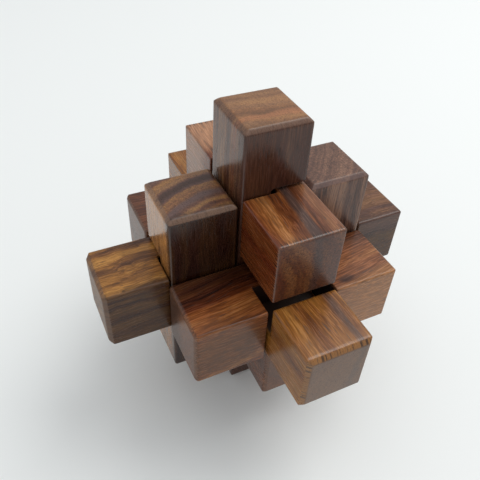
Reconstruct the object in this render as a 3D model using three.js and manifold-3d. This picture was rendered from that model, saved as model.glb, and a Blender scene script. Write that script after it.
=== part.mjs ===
// Wooden burr puzzle: nine square hardwood rods that interlock in three directions.
// Millimetres, +Z up. The puzzle stands on the lower end of its long upright rod, and the
// origin is the middle of that end face. +X is to the right and +Y is to the rear.
import * as THREE from "three";
import { mergeVertices } from "three/addons/utils/BufferGeometryUtils.js";
import Module from "manifold-3d";

const wasm = await Module();
wasm.setup();

// ---------------------------------------------------------------- driving dimensions
const ROD = 16; // side of every rod's square section
const LANE_GAP = 0.8; // play between two neighbouring rods
const PITCH = ROD + LANE_GAP; // distance between the middles of neighbouring rods
const NOTCH_PLAY = 0.7; // room that a notch leaves along its rod, on each side
const LAP_PLAY = 0.7; // wood taken off below the half depth, so that two halves never bind
const EDGE_EASE = 0.3; // radius of the eased long edges
const EASE_STEPS = 2; // facets in each eased edge
const LONG_CHAMFER = 1.0; // bevel round the ends of the long and the upright rods
const SHORT_CHAMFER = 0.6; // lighter bevel on most of the rods that lie flat
const CRISP_CHAMFER = 0.25; // the upper lengthwise rod kept its square ends
const CENTRE_HEIGHT = 40.6; // height of the crossing above the foot

const ONE_ROD_NOTCH = ROD / 2 + NOTCH_PLAY; // half length of a notch that one rod crosses
const THREE_ROD_NOTCH = PITCH + ROD / 2 + NOTCH_PLAY; // half length when three rods cross
const OVERSHOOT = ROD; // how far a cutting block runs out of the wood

// ---------------------------------------------------------------- solids
function toSolid(geometry) {
  geometry.deleteAttribute("normal");
  geometry.deleteAttribute("uv");
  const merged = mergeVertices(geometry, 1e-5);
  return new wasm.Manifold(
    new wasm.Mesh({
      numProp: 3,
      vertProperties: new Float32Array(merged.attributes.position.array),
      triVerts: new Uint32Array(merged.index.array),
    }),
  );
}

function toGeometry(solid) {
  const mesh = solid.getMesh();
  const geometry = new THREE.BufferGeometry();
  geometry.setAttribute("position", new THREE.BufferAttribute(mesh.vertProperties, mesh.numProp));
  geometry.setIndex(new THREE.BufferAttribute(mesh.triVerts, 1));
  geometry.computeVertexNormals();
  return geometry;
}

// A square outline with rounded corners, centred on the axis.
function squareOutline(side, radius) {
  const half = side / 2;
  const inner = half - radius;
  const outline = new THREE.Shape();
  outline.moveTo(half, -inner);
  outline.lineTo(half, inner);
  outline.absarc(inner, inner, radius, 0, Math.PI / 2, false);
  outline.lineTo(-inner, half);
  outline.absarc(-inner, inner, radius, Math.PI / 2, Math.PI, false);
  outline.lineTo(-half, -inner);
  outline.absarc(-inner, -inner, radius, Math.PI, 1.5 * Math.PI, false);
  outline.lineTo(inner, -half);
  outline.absarc(inner, -inner, radius, 1.5 * Math.PI, 2 * Math.PI, false);
  return outline;
}

// The side view of a rod: a rectangle whose four corners are cut off by the end bevels.
function bevelledOutline(side, length, chamfer) {
  const half = side / 2;
  const reach = length / 2;
  return new THREE.Shape([
    new THREE.Vector2(half - chamfer, -reach),
    new THREE.Vector2(half, chamfer - reach),
    new THREE.Vector2(half, reach - chamfer),
    new THREE.Vector2(half - chamfer, reach),
    new THREE.Vector2(chamfer - half, reach),
    new THREE.Vector2(-half, reach - chamfer),
    new THREE.Vector2(-half, chamfer - reach),
    new THREE.Vector2(chamfer - half, -reach),
  ]);
}

function extrudeCentred(outline, depth) {
  const options = { depth, bevelEnabled: false, curveSegments: EASE_STEPS };
  return new THREE.ExtrudeGeometry(outline, options).translate(0, 0, -depth / 2);
}

// A whole rod along Z, centred: eased long edges and a bevel round both ends.
function blankRod(length, chamfer) {
  const stick = toSolid(extrudeCentred(squareOutline(ROD, EDGE_EASE), length));
  const sideView = bevelledOutline(ROD, length, chamfer);
  const fromFront = toSolid(extrudeCentred(sideView, 2 * ROD).rotateX(Math.PI / 2));
  const fromSide = toSolid(
    extrudeCentred(sideView, 2 * ROD).rotateX(Math.PI / 2).rotateZ(Math.PI / 2),
  );
  return stick.intersect(fromFront).intersect(fromSide);
}

// A cutting block that takes away the wood on one side of the rod's middle plane. side is
// [x, y, z] with one entry of 1 or -1, and shift moves the block along the rod.
function cutter(axis, halfLength, side, shift) {
  const low = [-OVERSHOOT, -OVERSHOOT, -OVERSHOOT];
  const high = [OVERSHOOT, OVERSHOOT, OVERSHOOT];
  const along = "xyz".indexOf(axis);
  low[along] = shift - halfLength;
  high[along] = shift + halfLength;
  const across = side.findIndex((entry) => entry !== 0);
  if (side[across] > 0) {
    low[across] = -LAP_PLAY;
  } else {
    high[across] = LAP_PLAY;
  }
  const block = new THREE.BoxGeometry(high[0] - low[0], high[1] - low[1], high[2] - low[2]);
  block.translate((low[0] + high[0]) / 2, (low[1] + high[1]) / 2, (low[2] + high[2]) / 2);
  return toSolid(block);
}

const TURN_TO_AXIS = {
  x: [0, 90, 0],
  y: [-90, 0, 0],
  z: [0, 0, 0],
};

// A rod with a half-depth notch on one side. The long rods have a second, shorter cut in
// the middle of the notch, which leaves a neck of a quarter of the section; so does the key.
// notchShift is how far the cuts lie off the middle of the rod's length.
function notchedRod({ axis, length, chamfer, notch, notchSide, neck, neckSide, notchShift = 0 }) {
  let wood = blankRod(length, chamfer).rotate(TURN_TO_AXIS[axis]);
  wood = wood.subtract(cutter(axis, notch, notchSide, notchShift));
  if (neck) {
    wood = wood.subtract(cutter(axis, neck, neckSide, notchShift));
  }
  return toGeometry(wood);
}

// ---------------------------------------------------------------- the nine rods
const LEFT = [-1, 0, 0];
const RIGHT = [1, 0, 0];
const FRONT = [0, -1, 0];
const REAR = [0, 1, 0];
const BELOW = [0, 0, -1];
const ABOVE = [0, 0, 1];

// lane is the rod's place in the lattice, counted in rods from the crossing. rest is how far
// the loosely fitted rod has settled from that place, in millimetres.
const rods = [
  {
    name: "upright_long_rod", axis: "z", lane: [0, 0, 0], rest: [0, 0, 0.4],
    length: 82, chamfer: LONG_CHAMFER, notch: THREE_ROD_NOTCH, notchSide: RIGHT,
    neck: ONE_ROD_NOTCH, neckSide: REAR, notchShift: -0.4, color: 0x4a2a22, roughness: 0.42,
  },
  {
    name: "upright_left_rod", axis: "z", lane: [-1, 0, 0], rest: [0, -0.4, -0.5],
    length: 49.2, chamfer: LONG_CHAMFER, notch: ONE_ROD_NOTCH, notchSide: REAR,
    color: 0x5b3a30, roughness: 0.42,
  },
  {
    name: "upright_right_rod", axis: "z", lane: [1, 0, 0], rest: [0.7, -0.5, -0.7],
    length: 48.8, chamfer: LONG_CHAMFER, notch: ONE_ROD_NOTCH, notchSide: REAR,
    color: 0x6e4a38, roughness: 0.5,
  },
  {
    name: "lengthwise_long_rod", axis: "y", lane: [0, 0, 0], rest: [0, 0.3, -0.4],
    length: 81.6, chamfer: LONG_CHAMFER, notch: THREE_ROD_NOTCH, notchSide: ABOVE,
    neck: ONE_ROD_NOTCH, neckSide: LEFT, color: 0x8a5630, roughness: 0.45,
  },
  {
    name: "lengthwise_upper_rod", axis: "y", lane: [0, 0, 1], rest: [0.1, 0.4, 0.1],
    length: 50.2, chamfer: CRISP_CHAMFER, notch: ONE_ROD_NOTCH, notchSide: LEFT,
    color: 0x8c5230, roughness: 0.5,
  },
  {
    name: "lengthwise_lower_rod", axis: "y", lane: [0, 0, -1], rest: [0.3, -0.4, 0.1],
    length: 49.6, chamfer: SHORT_CHAMFER, notch: ONE_ROD_NOTCH, notchSide: LEFT,
    color: 0x7a4a2c, roughness: 0.5,
  },
  {
    name: "crosswise_long_rod", axis: "x", lane: [0, 0, 0], rest: [0, -0.4, -0.4],
    length: 80.6, chamfer: LONG_CHAMFER, notch: THREE_ROD_NOTCH, notchSide: FRONT,
    neck: ONE_ROD_NOTCH, neckSide: BELOW, notchShift: 0.35, color: 0x93602f, roughness: 0.45,
  },
  {
    name: "crosswise_rear_rod", axis: "x", lane: [0, 1, 0], rest: [-0.4, -0.3, 0.4],
    length: 49.6, chamfer: SHORT_CHAMFER, notch: ONE_ROD_NOTCH, notchSide: BELOW,
    color: 0x7c4c30, roughness: 0.5,
  },
  {
    name: "locking_key_rod", axis: "x", lane: [0, -1, 0], rest: [0.1, -0.1, -1.5],
    length: 51.6, chamfer: SHORT_CHAMFER, notch: ONE_ROD_NOTCH, notchSide: BELOW,
    neck: ONE_ROD_NOTCH, neckSide: FRONT, color: 0x80462a, roughness: 0.48,
  },
];

const puzzle = new THREE.Group();
for (const rod of rods) {
  const { name, lane, rest, color, roughness } = rod;
  const material = new THREE.MeshStandardMaterial({ color, roughness, metalness: 0 });
  const mesh = new THREE.Mesh(notchedRod(rod), material);
  mesh.name = name;
  mesh.position.set(
    lane[0] * PITCH + rest[0],
    lane[1] * PITCH + rest[1],
    lane[2] * PITCH + rest[2] + CENTRE_HEIGHT,
  );
  puzzle.add(mesh);
}

export default puzzle;
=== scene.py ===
"""Looks of the wooden burr puzzle: nine loosely fitted rods of oiled, dark striped hardwood.

The rods come from the CAD frame. Each one is copied, given fine worn edges, and gets its own
solid wood: growth rings round a pith line, so that stripes run on from the sides into the ends.
"""

import math

import bpy
import numpy as np
from mathutils import Matrix, Vector, noise


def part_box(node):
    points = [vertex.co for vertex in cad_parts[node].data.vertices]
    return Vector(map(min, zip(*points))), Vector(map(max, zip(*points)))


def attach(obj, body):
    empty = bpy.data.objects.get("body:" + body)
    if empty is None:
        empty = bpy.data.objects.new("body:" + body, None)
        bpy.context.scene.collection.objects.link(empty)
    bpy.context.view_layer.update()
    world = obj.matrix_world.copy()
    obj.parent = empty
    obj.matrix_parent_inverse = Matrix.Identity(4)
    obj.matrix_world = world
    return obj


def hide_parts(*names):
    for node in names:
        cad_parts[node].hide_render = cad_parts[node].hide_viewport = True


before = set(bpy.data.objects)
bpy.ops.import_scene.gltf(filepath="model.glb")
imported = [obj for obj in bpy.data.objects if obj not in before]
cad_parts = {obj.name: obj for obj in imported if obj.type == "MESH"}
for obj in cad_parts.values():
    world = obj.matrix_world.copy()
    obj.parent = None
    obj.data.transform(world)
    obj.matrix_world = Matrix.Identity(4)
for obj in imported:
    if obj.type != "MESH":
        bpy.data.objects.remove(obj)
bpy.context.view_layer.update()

MM = 0.001
scene = bpy.context.scene

# ------------------------------------------------------------------ camera
CAMERA_PLACE = Vector((-51.3, -90.9, 138.0)) * MM
CAMERA_AIM = Vector((-2.1, 2.9, 43.0)) * MM
CAMERA_ROLL = math.radians(3.4)
CAMERA_LENS = 41.5


def make_camera():
    data = bpy.data.cameras.new("camera")
    data.lens = CAMERA_LENS
    data.clip_start = 0.01
    data.clip_end = 10
    camera = bpy.data.objects.new("camera", data)
    scene.collection.objects.link(camera)
    look = (CAMERA_AIM - CAMERA_PLACE).to_track_quat("-Z", "Y").to_matrix().to_4x4()
    roll = Matrix.Rotation(CAMERA_ROLL, 4, "Z")
    camera.matrix_world = Matrix.Translation(CAMERA_PLACE) @ look @ roll
    scene.camera = camera


# ------------------------------------------------------------------ rods
AXES = {"upright": 2, "lengthwise": 1, "crosswise": 0}
VOXEL = 0.3 * MM
SMOOTH_TURNS = 2
FULLY_WORN = 0.14 * MM  # an edge that the smoothing has drawn in by this much is fully exposed
NICK_DEPTH = 0.35 * MM
NICKS_FROM = 0.15  # points less exposed than this are never nicked
COARSE_NICKS = dict(per_mm=0.33, share=0.55)
FINE_NICKS = dict(per_mm=1.1, share=0.75, offset=Vector((31.0, 7.0, 13.0)))
NICK_THRESHOLD = 0.12
NICK_DARKENING = 2.2


def rod_axis(name):
    """Which way a rod runs: 0, 1 or 2 for X, Y or Z."""
    family = "crosswise" if name == "locking_key_rod" else name.split("_")[0]
    return AXES[family]


def evaluated_mesh(source, smooth_turns):
    """The node's mesh, evenly gridded and then smoothed so that its edges become round."""
    probe = source.copy()
    probe.data = source.data.copy()
    probe.parent = None
    scene.collection.objects.link(probe)
    grid = probe.modifiers.new("grid", "REMESH")
    grid.mode = "VOXEL"
    grid.voxel_size = VOXEL
    if smooth_turns:
        soften = probe.modifiers.new("soften", "SMOOTH")
        soften.factor = 0.5
        soften.iterations = smooth_turns
    depsgraph = bpy.context.evaluated_depsgraph_get()
    mesh = bpy.data.meshes.new_from_object(probe.evaluated_get(depsgraph))
    bpy.data.objects.remove(probe)
    return mesh


def coordinates(mesh):
    flat = np.empty(len(mesh.vertices) * 3, dtype=np.float32)
    mesh.vertices.foreach_get("co", flat)
    return flat.reshape(-1, 3)


def normals(mesh):
    flat = np.empty(len(mesh.vertices) * 3, dtype=np.float32)
    mesh.vertex_normals.foreach_get("vector", flat)
    return flat.reshape(-1, 3)


def wear_edges(mesh, sharp, wear):
    """Nicks the exposed edges, and stores the attributes edge (how exposed) and nick (how deep)."""
    soft = coordinates(mesh).copy()
    facing = normals(mesh)
    inward = np.einsum("ij,ij->i", sharp - soft, facing)
    exposed = np.clip(inward / FULLY_WORN, 0.0, 1.0)
    nicks = np.zeros(len(soft), dtype=np.float32)
    for index in np.nonzero(exposed > NICKS_FROM)[0]:
        place = Vector([float(value) for value in soft[index]]) / MM
        coarse = noise.noise(place * COARSE_NICKS["per_mm"])
        fine = noise.noise(place * FINE_NICKS["per_mm"] + FINE_NICKS["offset"])
        height = COARSE_NICKS["share"] * coarse + FINE_NICKS["share"] * fine
        nicks[index] = max(0.0, height - NICK_THRESHOLD)
    depth = nicks * exposed * wear * NICK_DEPTH
    moved = soft - facing * depth[:, None]
    mesh.vertices.foreach_set("co", moved.ravel())
    attribute = mesh.attributes.new("edge", "FLOAT", "POINT")
    attribute.data.foreach_set("value", exposed.astype(np.float32))
    darkness = np.clip(nicks * exposed * NICK_DARKENING, 0, 1)
    scar = mesh.attributes.new("nick", "FLOAT", "POINT")
    scar.data.foreach_set("value", darkness.astype(np.float32))
    mesh.update()


def finished_rod(name, wear):
    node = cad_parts[name]
    mesh = evaluated_mesh(node, SMOOTH_TURNS)
    sharp = coordinates(evaluated_mesh(node, 0)).copy()
    wear_edges(mesh, sharp, wear)
    mesh.shade_smooth()
    piece = bpy.data.objects.new(name.replace("_rod", "_wood"), mesh)
    scene.collection.objects.link(piece)
    return piece


# ------------------------------------------------------------------ wood
class Tree:
    """Short calls for building one material's nodes."""

    def __init__(self, name):
        self.material = bpy.data.materials.new(name)
        self.material.use_nodes = True
        self.nodes = self.material.node_tree.nodes
        self.links = self.material.node_tree.links
        self.shader = self.nodes["Principled BSDF"]

    def feed(self, socket, value):
        if isinstance(value, bpy.types.NodeSocket):
            self.links.new(value, socket)
        else:
            socket.default_value = value

    def math(self, operation, first, second=0.0, clamp=False):
        node = self.nodes.new("ShaderNodeMath")
        node.operation = operation
        node.use_clamp = clamp
        self.feed(node.inputs[0], first)
        self.feed(node.inputs[1], second)
        return node.outputs[0]

    def vector(self, operation, first, second):
        node = self.nodes.new("ShaderNodeVectorMath")
        node.operation = operation
        self.feed(node.inputs[0], first)
        self.feed(node.inputs[1], second)
        return node.outputs["Vector"]

    def length(self, place):
        node = self.nodes.new("ShaderNodeVectorMath")
        node.operation = "LENGTH"
        self.feed(node.inputs[0], place)
        return node.outputs["Value"]

    def attribute(self, name):
        node = self.nodes.new("ShaderNodeAttribute")
        node.attribute_name = name
        return node.outputs["Fac"]

    def grey(self, value):
        return self.combine(value, value, value)

    def combine(self, x, y, z):
        node = self.nodes.new("ShaderNodeCombineXYZ")
        for socket, value in zip(node.inputs, (x, y, z)):
            self.feed(socket, value)
        return node.outputs[0]

    def split(self, source):
        node = self.nodes.new("ShaderNodeSeparateXYZ")
        self.feed(node.inputs[0], source)
        return list(node.outputs)

    def noise(self, place, scale, detail, roughness):
        node = self.nodes.new("ShaderNodeTexNoise")
        self.feed(node.inputs["Vector"], place)
        node.inputs["Scale"].default_value = scale
        node.inputs["Detail"].default_value = detail
        node.inputs["Roughness"].default_value = roughness
        node.inputs["Distortion"].default_value = 0.0
        return node.outputs["Fac"], node.outputs["Color"]

    def line_noise(self, along, scale, detail, roughness):
        node = self.nodes.new("ShaderNodeTexNoise")
        node.noise_dimensions = "1D"
        self.feed(node.inputs["W"], along)
        node.inputs["Scale"].default_value = scale
        node.inputs["Detail"].default_value = detail
        node.inputs["Roughness"].default_value = roughness
        return node.outputs["Fac"]

    def spread(self, value, low, high, to_low=0.0, to_high=1.0):
        node = self.nodes.new("ShaderNodeMapRange")
        node.interpolation_type = "SMOOTHSTEP"
        self.feed(node.inputs["Value"], value)
        node.inputs["From Min"].default_value = low
        node.inputs["From Max"].default_value = high
        node.inputs["To Min"].default_value = to_low
        node.inputs["To Max"].default_value = to_high
        return node.outputs["Result"]

    def ramp(self, value, stops):
        node = self.nodes.new("ShaderNodeValToRGB")
        self.feed(node.inputs[0], value)
        band = node.color_ramp
        while len(band.elements) < len(stops):
            band.elements.new(0.5)
        for element, (place, colour) in zip(band.elements, stops):
            element.position = place
            element.color = (*colour, 1)
        return node.outputs[0]

    def mix(self, amount, first, second, blend="MIX"):
        node = self.nodes.new("ShaderNodeMix")
        node.data_type = "RGBA"
        node.blend_type = blend
        self.feed(node.inputs["Factor"], amount)
        for socket, value in ((node.inputs[6], first), (node.inputs[7], second)):
            self.feed(socket, (*value, 1) if isinstance(value, tuple) else value)
        return node.outputs[2]


def srgb(red, green, blue):
    """A display colour, 0 to 255, as linear light."""
    def linear(value):
        value /= 255
        return value / 12.92 if value <= 0.04045 else ((value + 0.055) / 1.055) ** 2.4
    return (linear(red), linear(green), linear(blue))


# Noise in the solid wood: cells per millimetre across and along the rod, octaves, roughness,
# and an offset that keeps the patterns apart.
PATTERNS = dict(
    wander=(0.06, 0.022, 2.0, 0.5, 0.0),
    curl=(0.22, 0.16, 2.0, 0.5, 30.0),
    mottle=(0.2, 0.06, 3.0, 0.6, 4.0),
    strand=(1.1, 0.045, 2.0, 0.5, 8.0),
    fibre=(3.4, 0.13, 3.0, 0.6, 11.0),
    pore=(3.0, 0.3, 1.0, 0.4, 17.0),
    hollows=(0.16, 0.08, 1.0, 0.5, 23.0),
)
# Stripes that follow the rings: octaves, roughness, and an offset that keeps them apart.
STRIPES = dict(
    wide=(1.5, 0.5, 0.0),
    narrow=(2.0, 0.6, 50.0),
    hue=(1.0, 0.5, 90.0),
)
HUE_PER_BAND = 0.7  # the grey cast changes more slowly than the wide stripes
# How far one rod's seed shifts its noise and its rings away from the next rod's.
SEED_SHIFT = (3.1, 1.7)
SEED_RING_SHIFT = 13.7
PALETTE_PLACES = (0.0, 0.36, 0.68, 1.0)
CAST_RANGE = (0.48, 0.66)  # hue noise at which the grey cast begins and is full
PORE_RANGE = (0.62, 0.74)  # pore noise at which a pore begins and is full
GRAIN_RANGE = (0.34, 0.66)  # fibre noise of the darkest and of the lightest fibres
GRAIN_CONTRAST = (0.70, 1.23)  # and their brightness

# How squarely a surface faces along the rod, 0 to 1, where each of these begins and is full.
END_FACE = (0.45, 0.9)
BEVEL = (0.4, 0.6)
PAST_BEVEL = (0.8, 0.95)
# Noise that is the same in all directions: cells per millimetre, octaves, roughness.
GRIT = (2.2, 3.0, 0.65)
GRIT_RANGE = (0.3, 0.7)
GRIT_HIGHLIGHTS = 0.8  # how far the light grit stands out, against 1 for the dark
RUBBING = (0.35, 3.0, 0.6)
RUBBING_RANGE = (0.35, 0.65)
LEAST_RUBBED = 0.15

MARK_OCTAVES = 2.0
# Marks across an end edge: an offset, cells per millimetre, roughness, and their noise range.
CHATTER = dict(offset=9.0, per_mm=1.5, roughness=0.6, begin=0.5, full=0.66)
TORN = dict(offset=5.0, per_mm=1.9, roughness=0.7, begin=0.48, full=0.6)

RELIEF = 0.05 * MM  # depth of the hollows left by hand sanding
FIBRE_RELIEF = 0.10  # the rest of the relief, as shares of those hollows
PORE_RELIEF = 0.10
GRIT_RELIEF = 0.12

STREAK_WANDER = 1.6  # mm by which a streak's outline strays with the strands
STREAK_FADE = (0.4, 1.3)  # half widths from its middle: where a streak begins to fade, is gone
KNOT_FADE = (0.9, 1.5)  # knot sizes from its middle: where a knot begins to fade, is gone
KNOT_UNEVENNESS = 0.8
TICK_STRIP = (1.8, 0.3)  # mm from a rod's end: where the torn fibres begin and are densest
NOTCH_DEPTH = (7.1, 7.6)  # mm from the rod's middle line: surely inside a notch, surely outside
NOTCH_ENDS = (2.2, 1.7)  # mm from a rod's end: notches begin behind this strip
# how far the notch walls are painted towards the dark pore colour, as painted shade in the slots
NOTCH_PAINTED_SHADE = 0.93
NICK_DARKNESS = 0.55

SHEEN_RANGE = (0.3, 0.7)  # fibre noise of the glossiest and of the dullest fibres
SHEEN_SWING = (-0.05, 0.08)  # and how far their roughness lies from the rod's own
PORE_ROUGHNESS = 0.15  # roughness that each of these adds
EDGE_ROUGHNESS = 0.25
NOTCH_ROUGHNESS = 0.4


class Wood(Tree):
    """The solid wood of one rod. Places are in millimetres from the middle of the rod's box."""

    def __init__(self, name, look):
        super().__init__(name.replace("_rod", "_finish"))
        self.look = look
        axis = rod_axis(name)
        low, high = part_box(name)
        self.reach = (high[axis] - low[axis]) / 2 / MM
        centre = (Vector(low) + Vector(high)) / 2
        source = self.nodes.new("ShaderNodeTexCoord")
        place = self.vector("SUBTRACT", source.outputs["Object"], tuple(centre))
        self.local = self.vector("MULTIPLY", place, (1 / MM, 1 / MM, 1 / MM))
        parts = self.split(self.local)
        self.along = parts.pop(axis)
        self.first, self.second = parts
        self.from_middle = self.math("ABSOLUTE", self.along)
        facing = [self.math("ABSOLUTE", part) for part in self.split(source.outputs["Normal"])]
        self.facing_end = facing.pop(axis)
        self.facing_first, self.facing_second = facing
        self.end = self.spread(self.facing_end, *END_FACE)
        self.edge = self.attribute("edge")
        self.nick = self.attribute("nick")

    def times(self, first, second):
        return self.math("MULTIPLY", first, second)

    def plus(self, first, second):
        return self.math("ADD", first, second)

    def pattern(self, kind, x, y):
        """One of PATTERNS, as (value, colour), at a place across the rod."""
        across, lengthwise, detail, roughness, offset = PATTERNS[kind]
        seed = self.look["seed"]
        place = self.combine(
            self.times(x, across), self.times(y, across), self.times(self.along, lengthwise)
        )
        shift_x, shift_y = SEED_SHIFT
        place = self.vector("ADD", place, (seed * shift_x + offset, seed * shift_y, offset))
        return self.noise(place, 1.0, detail, roughness)

    def lay_rings(self):
        """Growth rings round a pith line beside the rod, leaning a little and wandering."""
        look = self.look
        strays = []
        for kind in ("wander", "curl"):
            _, stray = self.pattern(kind, self.first, self.second)
            strays.append(self.vector("MULTIPLY", stray, (look[kind],) * 3))
        stray_x, stray_y, _ = self.split(self.vector("ADD", *strays))
        mean_stray = (look["wander"] + look["curl"]) / 2
        lean_x, lean_y = look["lean"]
        across_x = self.plus(self.first, self.times(self.along, lean_x))
        across_y = self.plus(self.second, self.times(self.along, lean_y))
        self.across_x = self.plus(across_x, self.math("SUBTRACT", stray_x, mean_stray))
        self.across_y = self.plus(across_y, self.math("SUBTRACT", stray_y, mean_stray))
        pith_x, pith_y = look["pith"]
        spoke = self.combine(
            self.math("SUBTRACT", self.across_x, pith_x),
            self.math("SUBTRACT", self.across_y, pith_y),
            0.0,
        )
        self.ring = self.plus(self.length(spoke), look["seed"] * SEED_RING_SHIFT)

    def stripes(self, kind, per_mm):
        detail, roughness, offset = STRIPES[kind]
        return self.line_noise(self.plus(self.ring, offset), per_mm, detail, roughness)

    def lay_fibres(self):
        self.mottle, _ = self.pattern("mottle", self.first, self.second)
        self.strand, _ = self.pattern("strand", self.across_x, self.across_y)
        self.fibre, _ = self.pattern("fibre", self.across_x, self.across_y)
        pore_field, _ = self.pattern("pore", self.across_x, self.across_y)
        self.pore = self.spread(pore_field, *PORE_RANGE)

    def heartwood_with_painted_bands(self):
        """Stripes that follow the rings, a greyer cast that drifts with them, streaks and knots
        (some streaks are painted shade, and one is partly a painted reflection, each on one face),
        and the fibres.
        """
        look = self.look
        sources = dict(
            wide=self.stripes("wide", 1 / look["band"]),
            narrow=self.stripes("narrow", 1 / look["line"]),
            mottle=self.mottle,
            strand=self.strand,
            fibre=self.fibre,
        )
        figure = look["tone"]
        for kind, source in sources.items():
            swing = self.times(self.math("SUBTRACT", source, 0.5), look[kind])
            figure = self.plus(swing, figure)
        colour = self.ramp(figure, list(zip(PALETTE_PLACES, look["palette"])))
        hue = self.stripes("hue", HUE_PER_BAND / look["band"])
        cast = self.spread(hue, *CAST_RANGE, 0.0, look["grey"])
        colour = self.mix(cast, colour, look["cast"])
        # some streak colours are painted shade, and one is partly a painted reflection, each on one
        # face
        for streak in look["streaks"]:
            colour = self.mix(self.streak_mask(streak), colour, streak["colour"])
        for knot in look["knots"]:
            colour = self.mix(self.knot_mask(knot), colour, knot["colour"])
        grain = self.spread(self.fibre, *GRAIN_RANGE, *GRAIN_CONTRAST)
        colour = self.mix(1.0, colour, self.grey(grain), "MULTIPLY")
        return self.mix(self.times(self.pore, look["pores"]), colour, look["pore"])

    def streak_mask(self, streak):
        """A flat band of other colour running the length of the rod, with a feathered outline; most
        bands are other wood, some are painted shade on one face, and one is partly a painted
        reflection.
        """
        turn = math.radians(streak["turn"])
        place = self.plus(
            self.times(self.across_x, math.cos(turn)),
            self.times(self.across_y, math.sin(turn)),
        )
        place = self.plus(place, self.times(self.strand, STREAK_WANDER))
        middle = streak["at"] + STREAK_WANDER / 2
        off = self.math("ABSOLUTE", self.math("SUBTRACT", place, middle))
        begin, gone = (share * streak["half"] for share in STREAK_FADE)
        return self.spread(off, begin, gone, streak["amount"], 0.0)

    def knot_mask(self, knot):
        """A knot or a soft patch of other wood, egg-shaped with an uneven outline."""
        offset = self.vector("SUBTRACT", self.local, knot["place"])
        distance = self.length(self.vector("DIVIDE", offset, knot["size"]))
        distance = self.plus(distance, self.times(self.mottle, KNOT_UNEVENNESS))
        return self.spread(distance, *KNOT_FADE, knot["amount"], 0.0)

    def end_faces(self, colour):
        """The pores are seen end on, so the ends are duller and finer grained."""
        look = self.look
        self.grit, _ = self.noise(self.local, *GRIT)
        darkest, lightest = 1 - look["grit"], 1 + GRIT_HIGHLIGHTS * look["grit"]
        tone = self.spread(self.grit, *GRIT_RANGE, darkest, lightest)
        veiled = self.mix(look["end_veil"], colour, look["end_tone"])
        return self.mix(self.end, colour, self.mix(1.0, veiled, self.grey(tone), "MULTIPLY"))

    def edge_marks(self, kind, amount):
        """Marks square to the nearest end edge, so their noise varies only along that edge."""
        on_first = self.math("GREATER_THAN", self.facing_first, self.facing_second)
        swap = self.times(self.math("SUBTRACT", self.second, self.first), on_first)
        place = self.plus(self.plus(self.first, swap), self.look["seed"] * kind["offset"])
        marks = self.line_noise(place, kind["per_mm"], MARK_OCTAVES, kind["roughness"])
        return self.spread(marks, kind["begin"], kind["full"], 0.0, amount)

    def pale_bevels_and_sheen(self, colour):
        """The end bevels are paler and greyer, partly for their end grain and partly as painted sky
        light and painted sky reflection on the slanted faces, with short chatter marks across them.
        """
        look = self.look
        slanted = self.spread(self.facing_end, *BEVEL)
        bevel = self.math("SUBTRACT", slanted, self.spread(self.facing_end, *PAST_BEVEL))
        colour = self.mix(self.times(bevel, look["bevel"]), colour, look["bevel_sheen_tone"])
        marks = self.edge_marks(CHATTER, look["marks"])
        return self.mix(self.times(bevel, marks), colour, look["pore"])

    def torn_fibres(self, colour):
        """Short dark ticks along the very end of each side, where the saw tore the fibres."""
        begin, densest = TICK_STRIP
        strip = self.spread(self.from_middle, self.reach - begin, self.reach - densest)
        ticks = self.times(strip, self.edge_marks(TORN, self.look["torn"]))
        ticks = self.times(ticks, self.math("SUBTRACT", 1.0, self.end))
        return self.mix(ticks, colour, self.look["pore"])

    def worn_edges_and_highlights(self, colour):
        """Paler edges with dark nicks: the paler rim is partly rubbed wear and partly a painted
        highlight along the edges.
        """
        look = self.look
        rub, _ = self.noise(self.local, *RUBBING)
        rim = self.times(self.edge, self.spread(rub, *RUBBING_RANGE, LEAST_RUBBED, 1.0))
        colour = self.mix(self.times(rim, look["rim"]), colour, look["rim_wear_and_highlight_tone"])
        return self.mix(self.times(self.nick, NICK_DARKNESS), colour, look["pore"])

    def notch_painted_shade(self, colour):
        """The notch walls are darkened towards the pore colour: painted shade inside the slots."""
        deepest, shallowest = NOTCH_DEPTH
        outside, within = NOTCH_ENDS
        depth = self.math(
            "MAXIMUM", self.math("ABSOLUTE", self.first), self.math("ABSOLUTE", self.second)
        )
        self.inside = self.times(
            self.spread(depth, deepest, shallowest, 1.0, 0.0),
            self.spread(self.from_middle, self.reach - outside, self.reach - within, 1.0, 0.0),
        )
        return self.mix(self.times(self.inside, NOTCH_PAINTED_SHADE), colour, self.look["pore"])

    def sheen(self):
        """Oiled and rubbed smooth: satin, duller on pores, ends, worn edges and notch walls."""
        look = self.look
        glossiest, dullest = (look["gloss"] + swing for swing in SHEEN_SWING)
        rough = self.spread(self.fibre, *SHEEN_RANGE, glossiest, dullest)
        for mask, extra in (
            (self.pore, PORE_ROUGHNESS), (self.end, look["end_rough"]),
            (self.inside, NOTCH_ROUGHNESS), (self.edge, EDGE_ROUGHNESS),
        ):
            rough = self.plus(rough, self.times(mask, extra))
        self.feed(self.shader.inputs["Roughness"], rough)
        self.shader.inputs["IOR"].default_value = look["ior"]

    def relief(self):
        relief, _ = self.pattern("hollows", self.first, self.second)
        relief = self.plus(relief, self.times(self.fibre, FIBRE_RELIEF))
        relief = self.math("SUBTRACT", relief, self.times(self.pore, PORE_RELIEF))
        relief = self.plus(relief, self.times(self.times(self.grit, self.end), GRIT_RELIEF))
        bump = self.nodes.new("ShaderNodeBump")
        bump.inputs["Strength"].default_value = 1.0
        bump.inputs["Distance"].default_value = RELIEF
        self.feed(bump.inputs["Height"], relief)
        self.links.new(bump.outputs["Normal"], self.shader.inputs["Normal"])


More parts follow.
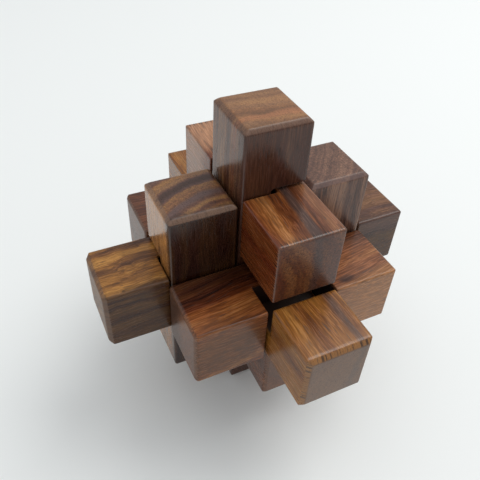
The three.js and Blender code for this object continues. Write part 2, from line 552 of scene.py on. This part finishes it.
def wood_material(name, look):
    wood = Wood(name, look)
    wood.lay_rings()
    wood.lay_fibres()
    colour = wood.heartwood_with_painted_bands()
    for layer in (
        wood.end_faces, wood.pale_bevels_and_sheen, wood.torn_fibres, wood.worn_edges_and_highlights, wood.notch_painted_shade
    ):
        colour = layer(colour)
    wood.feed(wood.shader.inputs["Base Color"], colour)
    wood.sheen()
    wood.relief()
    return wood.material


# seed shifts every pattern. pith is where the ring centre lies across the rod, lean how far it
# moves per mm along, and wander and curl how far the rings stray, coarsely and finely, in mm.
# band and line are the widths of the wide and the narrow stripes in mm. tone, 0 to 1, is the
# mean place in the palette, and wide, narrow, mottle, strand and fibre are how far each noise
# moves it. gloss is the roughness of the sides. The rest are amounts, 0 to 1, and colours.
BASE_LOOK = dict(
    seed=1.0, pith=(26, 18), lean=(0.02, 0.01), wander=5.0, band=4.5, line=1.2,
    tone=0.45, wide=1.3, narrow=0.45, mottle=0.8, strand=0.55, fibre=0.4,
    grey=0.35, gloss=0.22, ior=1.5, rim=0.45, wear=0.6, pores=0.6, curl=0.7,
    end_veil=0.35, grit=0.2, end_rough=0.1, torn=0.15,
    # the bevel colour is partly pale end grain and partly painted sky light and reflection on the
    # slanted bevels
    bevel=0.3, marks=0.35, bevel_sheen_tone=srgb(122, 92, 74),
    palette=(srgb(50, 22, 12), srgb(86, 44, 24), srgb(114, 66, 36), srgb(136, 88, 50)),
    cast=srgb(78, 54, 46), pore=srgb(28, 13, 8), end_tone=srgb(92, 66, 48),
    # the rim colour is partly rubbed wear and partly a painted highlight along the edges
    rim_wear_and_highlight_tone=srgb(146, 108, 84), streaks=(), knots=(),
)

# For the upright rods across means (x, y), for the lengthwise ones (x, z), and for the
# crosswise ones (y, z). turn is the direction in that plane in which a streak lies off the
# middle by at, and half is half its width. A knot's place and size are (x, y, z).
LOOKS = {
    "upright_long_rod": dict(
        seed=2.0, pith=(8, 52), lean=(0.0, 0.01), band=3.6, tone=0.52, grey=0.45, wide=1.7,
        ior=1.46,
        palette=(srgb(68, 36, 22), srgb(110, 68, 42), srgb(148, 103, 64), srgb(170, 124, 78)),
        cast=srgb(108, 80, 66), end_tone=srgb(156, 114, 76), end_veil=0.3, grit=0.12,
        bevel=0.45, marks=0.2, bevel_sheen_tone=srgb(112, 86, 74),
        streaks=(
            dict(turn=90, at=-8.6, half=3.4, colour=srgb(56, 23, 14), amount=0.9),
            dict(turn=90, at=-2.8, half=1.0, colour=srgb(158, 98, 64), amount=0.75),
            dict(turn=90, at=6.5, half=3.0, colour=srgb(88, 62, 52), amount=0.4),
            dict(turn=0, at=-9.4, half=1.8, colour=srgb(70, 42, 34), amount=0.75),
        ),
    ),
    "upright_left_rod": dict(
        seed=5.3, pith=(5, -17), lean=(0.0, 0.01), band=2.8, tone=0.58, grey=0.9, wander=3.0,
        wide=2.8, curl=1.2,
        palette=(srgb(54, 27, 18), srgb(96, 56, 37), srgb(128, 84, 50), srgb(150, 106, 58)),
        cast=srgb(94, 72, 70), end_tone=srgb(104, 76, 60), end_veil=0.15,
        bevel=0.6, marks=0.25, bevel_sheen_tone=srgb(130, 100, 80),
        streaks=(
            # a golden band over the left face: partly lighter wood, partly a painted reflection of
            # the golden rod below
            dict(turn=0, at=-9.2, half=1.7, colour=srgb(184, 126, 66), amount=0.9),
            # a near-black band over the front face: painted shade where the rods around shade it
            dict(turn=90, at=-8.9, half=2.9, colour=srgb(36, 13, 7), amount=0.93),
        ),
    ),
    "upright_right_rod": dict(
        seed=7.9, pith=(-28, 28), band=3.6, line=0.8, tone=0.53, gloss=0.3, fibre=0.8,
        narrow=1.1, grit=0.4,
        palette=(srgb(56, 32, 24), srgb(88, 58, 44), srgb(118, 84, 64), srgb(140, 104, 80)),
        cast=srgb(92, 66, 60), end_tone=srgb(116, 84, 70), end_veil=0.35,
        bevel=0.5, marks=0.15, bevel_sheen_tone=srgb(108, 90, 88),
    ),
    "lengthwise_long_rod": dict(
        seed=11.2, pith=(34, -30), lean=(0.012, 0.0), band=3.4, tone=0.66, grey=0.12,
        wide=1.1, strand=0.4,
        palette=(srgb(74, 38, 14), srgb(112, 64, 24), srgb(140, 88, 34), srgb(158, 108, 50)),
        end_tone=srgb(94, 72, 58), end_veil=0.8, bevel=0.6, marks=0.8,
        bevel_sheen_tone=srgb(150, 102, 50),
        streaks=(dict(turn=0, at=4.2, half=0.9, colour=srgb(82, 58, 48), amount=0.8),),
    ),
    "lengthwise_upper_rod": dict(
        seed=14.6, pith=(-36, -10), lean=(0.0, 0.0), band=3.4, wear=1.5, rim=0.75, grey=0.2,
        torn=0.9,
        # its paler rim is partly wear and partly a painted highlight along the edges
        rim_wear_and_highlight_tone=srgb(160, 118, 90), tone=0.52, fibre=0.6,
        palette=(srgb(60, 26, 11), srgb(104, 55, 24), srgb(138, 84, 40), srgb(154, 102, 58)),
        end_tone=srgb(60, 28, 18), end_veil=0.6, grit=0.5,
        streaks=(
            dict(turn=0, at=1.6, half=1.2, colour=srgb(72, 56, 52), amount=0.85),
            dict(turn=0, at=6.6, half=2.8, colour=srgb(124, 84, 66), amount=0.5),
            dict(turn=0, at=-8.6, half=2.4, colour=srgb(100, 40, 18), amount=0.7),
        ),
        knots=(dict(place=(-5.0, 20.0, 6.0), size=(14.0, 9.0, 14.0), colour=srgb(176, 130, 98),
                    amount=0.75),),
    ),
    "lengthwise_lower_rod": dict(seed=17.1, pith=(20, 26), band=4.4),
    "crosswise_long_rod": dict(
        seed=21.4, pith=(-22, -20), lean=(0.0, -0.06), band=2.0, tone=0.66, grey=0.1,
        wide=2.0, wander=4.0, curl=2.0, mottle=1.4, ior=1.42,
        palette=(srgb(70, 42, 28), srgb(112, 72, 40), srgb(148, 100, 48), srgb(170, 120, 60)),
        end_tone=srgb(96, 70, 50), end_veil=0.7, end_rough=0.2, bevel=0.25,
        # a dark band over the front face: painted shade on this shaded front face
        streaks=(dict(turn=0, at=-8.8, half=2.8, colour=srgb(42, 17, 9), amount=0.83),),
        knots=(dict(place=(36.0, 0.0, 8.0), size=(18.0, 16.0, 7.0), colour=srgb(94, 68, 60),
                    amount=0.7),),
    ),
    "crosswise_rear_rod": dict(seed=24.8, pith=(-18, 30), band=4.8),
    "locking_key_rod": dict(
        seed=28.5, pith=(-30, -26), lean=(-0.11, 0.0), band=3.6, wear=0.9, rim=0.6, grey=0.1,
        strand=0.65, fibre=0.8, tone=0.5, curl=0.3, ior=1.42, torn=0.3,
        palette=(srgb(48, 18, 9), srgb(94, 44, 18), srgb(134, 76, 34), srgb(158, 104, 56)),
        end_tone=srgb(96, 66, 48), end_veil=0.5,
        streaks=(
            # a dark band over the back of the top: painted shade under the rods above and behind
            dict(turn=0, at=8.6, half=6.0, colour=srgb(42, 19, 12), amount=0.8),
            dict(turn=0, at=-10.8, half=3.4, colour=srgb(158, 110, 70), amount=0.85),
        ),
        knots=(
            dict(place=(12.9, -5.8, 7.8), size=(2.6, 1.2, 1.6), colour=srgb(48, 24, 20),
                 amount=0.85),
            dict(place=(-19.0, -8.0, 0.0), size=(14.0, 5.0, 11.0), colour=srgb(94, 60, 32),
                 amount=0.75),
            dict(place=(20.0, 0.0, 8.0), size=(12.0, 8.0, 3.0), colour=srgb(150, 106, 80),
                 amount=0.35),
        ),
    ),
}


def make_rods():
    for name, own in LOOKS.items():
        look = {**BASE_LOOK, **own}
        piece = finished_rod(name, look["wear"])
        piece.data.materials.clear()
        piece.data.materials.append(wood_material(name, look))
        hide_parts(name)
        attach(piece, "key" if name == "locking_key_rod" else "locked_rods")


# ------------------------------------------------------------------ room
FLOOR_HALF = 1.5
FLOOR_COLOUR = (0.84, 0.86, 0.85, 1)
FLOOR_ROUGHNESS = 0.7
KEY_LIGHT = dict(place=(0.50, 0.03, 0.80), size=0.7, power=3.8, tint=(1.0, 0.99, 0.97))
SKY_WALLS = 0.61  # brightness of the room round the sides
SKY_TOP = 1.22  # and straight overhead
SKY_CHANGE = (0.78, 0.95)  # height in the sky, 0 to 1, where the one gives way to the other
SKY_COLOUR = (0.96, 0.98, 1.0, 1)
LIGHT_AIM = Vector((0, 0, 0.03))


def make_floor():
    mesh = bpy.data.meshes.new("floor")
    corners = [(-1, -1), (1, -1), (1, 1), (-1, 1)]
    mesh.from_pydata([(x * FLOOR_HALF, y * FLOOR_HALF, 0) for x, y in corners], [], [(0, 1, 2, 3)])
    floor = bpy.data.objects.new("floor", mesh)
    scene.collection.objects.link(floor)
    tree = Tree("floor_paint")
    tree.shader.inputs["Base Color"].default_value = FLOOR_COLOUR
    tree.shader.inputs["Roughness"].default_value = FLOOR_ROUGHNESS
    mesh.materials.append(tree.material)


def make_light(name, place, size, power, tint):
    data = bpy.data.lights.new(name, "AREA")
    data.shape = "DISK"
    data.size = size
    data.energy = power
    data.color = tint
    light = bpy.data.objects.new(name, data)
    scene.collection.objects.link(light)
    light.location = place
    aim = LIGHT_AIM - Vector(place)
    light.rotation_euler = aim.to_track_quat("-Z", "Y").to_euler()


def make_room():
    make_floor()
    make_light("key_light", **KEY_LIGHT)
    world = bpy.data.worlds.new("room")
    world.use_nodes = True
    nodes = world.node_tree.nodes
    links = world.node_tree.links
    sight = nodes.new("ShaderNodeTexCoord")
    height = nodes.new("ShaderNodeSeparateXYZ")
    links.new(sight.outputs["Generated"], height.inputs[0])
    glow = nodes.new("ShaderNodeMapRange")
    glow.interpolation_type = "SMOOTHSTEP"
    glow.inputs["From Min"].default_value = SKY_CHANGE[0]
    glow.inputs["From Max"].default_value = SKY_CHANGE[1]
    glow.inputs["To Min"].default_value = SKY_WALLS
    glow.inputs["To Max"].default_value = SKY_TOP
    links.new(height.outputs["Z"], glow.inputs["Value"])
    background = nodes["Background"]
    background.inputs["Color"].default_value = SKY_COLOUR
    links.new(glow.outputs["Result"], background.inputs["Strength"])
    scene.world = world
    scene.view_settings.view_transform = "Standard"


make_camera()
make_rods()
make_room()
